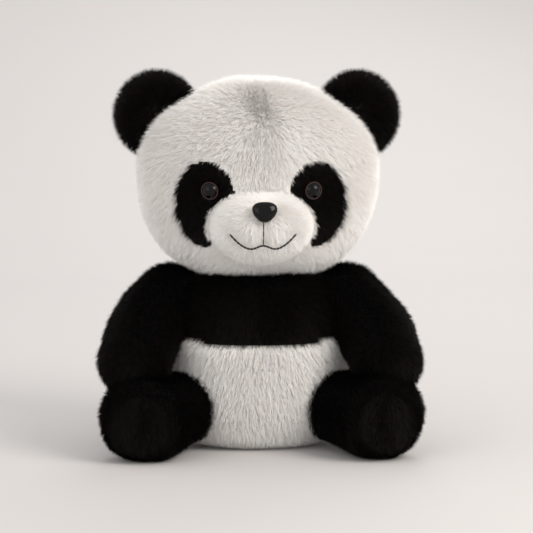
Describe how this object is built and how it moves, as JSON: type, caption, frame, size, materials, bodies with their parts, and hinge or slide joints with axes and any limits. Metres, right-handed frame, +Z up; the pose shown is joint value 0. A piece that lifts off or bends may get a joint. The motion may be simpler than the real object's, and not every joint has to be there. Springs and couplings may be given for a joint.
{
  "type": "plush panda",
  "caption": "Sitting plush panda with a round head, black ears, eye patches, limbs and chest band, a short muzzle, glossy eyes and nose.",
  "frame": {"origin": "middle of the flat seat, on the surface that the panda sits on", "axes": "+Z up, the panda faces -Y, +X is the right side of someone who faces it"},
  "size_m": [0.246, 0.1806, 0.296],
  "materials": {
    "white_plush": "long white plush pile",
    "black_plush": "long black plush pile",
    "polyester_fill": "polyester fibre filling",
    "pellet_cloth": "cotton bag of plastic pellets",
    "black_button": "polished black plastic",
    "amber_ring": "polished red-brown plastic",
    "washer": "natural polyethylene",
    "black_thread": "six-strand black thread",
    "label_satin": "blank white satin ribbon"
  },
  "bodies": {
    "torso": {"chest_left": "black_plush", "chest_right": "black_plush", "back_yoke": "black_plush", "belly": "white_plush", "lower_back_left": "white_plush", "lower_back_right": "white_plush", "seat_base": "white_plush", "torso_stuffing": "polyester_fill", "pellet_bag": "pellet_cloth", "tail_cover": "white_plush", "tail_stuffing": "polyester_fill", "care_label": "label_satin", "closing_seam": "black_thread"},
    "neck": {"neck_stuffing": "polyester_fill", "neck_seam": "black_thread"},
    "head": {"head_face_left": "white_plush", "head_face_right": "white_plush", "head_back_left": "white_plush", "head_back_right": "white_plush", "head_stuffing": "polyester_fill", "muzzle_left": "white_plush", "muzzle_right": "white_plush", "muzzle_stuffing": "polyester_fill", "eye_patch_left": "black_plush", "eye_patch_right": "black_plush", "eye_left": "black_button", "eye_right": "black_button", "eye_iris_left": "amber_ring", "eye_iris_right": "amber_ring", "eye_washer_left": "washer", "eye_washer_right": "washer", "nose": "black_button", "nose_washer": "washer", "mouth_stitching": "black_thread"},
    "ear_left": {"ear_front_left": "black_plush", "ear_back_left": "black_plush", "ear_stuffing_left": "polyester_fill"},
    "shoulder_left": {"shoulder_core_left": "polyester_fill"},
    "arm_left": {"arm_outer_left": "black_plush", "arm_inner_left": "black_plush", "arm_stuffing_left": "polyester_fill"},
    "hip_left": {"hip_core_left": "polyester_fill"},
    "leg_left": {"leg_upper_left": "black_plush", "leg_under_left": "black_plush", "sole_left": "black_plush", "leg_stuffing_left": "polyester_fill"},
    "ear_right": {"ear_front_right": "black_plush", "ear_back_right": "black_plush", "ear_stuffing_right": "polyester_fill"},
    "shoulder_right": {"shoulder_core_right": "polyester_fill"},
    "arm_right": {"arm_outer_right": "black_plush", "arm_inner_right": "black_plush", "arm_stuffing_right": "polyester_fill"},
    "hip_right": {"hip_core_right": "polyester_fill"},
    "leg_right": {"leg_upper_right": "black_plush", "leg_under_right": "black_plush", "sole_right": "black_plush", "leg_stuffing_right": "polyester_fill"}
  },
  "joints": [
    {"name": "neck_turn", "type": "hinge", "parent": "torso", "child": "neck", "pos_m": [0, 0, 0.124], "axis": [0, 0, 1], "range_deg": [-30, 30], "stiffness_Nm_per_rad": 0.5},
    {"name": "head_nod", "type": "hinge", "parent": "neck", "child": "head", "pos_m": [0, 0, 0.124], "axis": [1, 0, 0], "range_deg": [-10, 12], "stiffness_Nm_per_rad": 1.2},
    {"name": "ear_left_fold", "type": "hinge", "parent": "head", "child": "ear_left", "pos_m": [-0.0763, 0, 0.2615], "axis": [-0.6691, 0, -0.7431], "range_deg": [-20, 20], "stiffness_Nm_per_rad": 0.05},
    {"name": "arm_left_swing", "type": "hinge", "parent": "torso", "child": "shoulder_left", "pos_m": [-0.0675, -0.002, 0.112], "axis": [-1, 0, 0], "range_deg": [0, 60], "stiffness_Nm_per_rad": 0.25},
    {"name": "arm_left_lift", "type": "hinge", "parent": "shoulder_left", "child": "arm_left", "pos_m": [-0.0675, -0.002, 0.112], "axis": [0, 1, 0], "range_deg": [0, 30], "stiffness_Nm_per_rad": 0.25},
    {"name": "leg_left_drop", "type": "hinge", "parent": "torso", "child": "hip_left", "pos_m": [-0.048, -0.024, 0.033], "axis": [1, 0, 0], "range_deg": [0, 25], "stiffness_Nm_per_rad": 0.5},
    {"name": "leg_left_close", "type": "hinge", "parent": "hip_left", "child": "leg_left", "pos_m": [-0.048, -0.024, 0.033], "axis": [0, 0, 1], "range_deg": [0, 12], "stiffness_Nm_per_rad": 0.5},
    {"name": "ear_right_fold", "type": "hinge", "parent": "head", "child": "ear_right", "pos_m": [0.0763, 0, 0.2615], "axis": [0.6691, 0, -0.7431], "range_deg": [-20, 20], "stiffness_Nm_per_rad": 0.05},
    {"name": "arm_right_swing", "type": "hinge", "parent": "torso", "child": "shoulder_right", "pos_m": [0.0675, -0.002, 0.112], "axis": [-1, 0, 0], "range_deg": [0, 60], "stiffness_Nm_per_rad": 0.25},
    {"name": "arm_right_lift", "type": "hinge", "parent": "shoulder_right", "child": "arm_right", "pos_m": [0.0675, -0.002, 0.112], "axis": [0, -1, 0], "range_deg": [0, 30], "stiffness_Nm_per_rad": 0.25},
    {"name": "leg_right_drop", "type": "hinge", "parent": "torso", "child": "hip_right", "pos_m": [0.048, -0.024, 0.033], "axis": [1, 0, 0], "range_deg": [0, 25], "stiffness_Nm_per_rad": 0.5},
    {"name": "leg_right_close", "type": "hinge", "parent": "hip_right", "child": "leg_right", "pos_m": [0.048, -0.024, 0.033], "axis": [0, 0, -1], "range_deg": [0, 12], "stiffness_Nm_per_rad": 0.5}
  ]
}
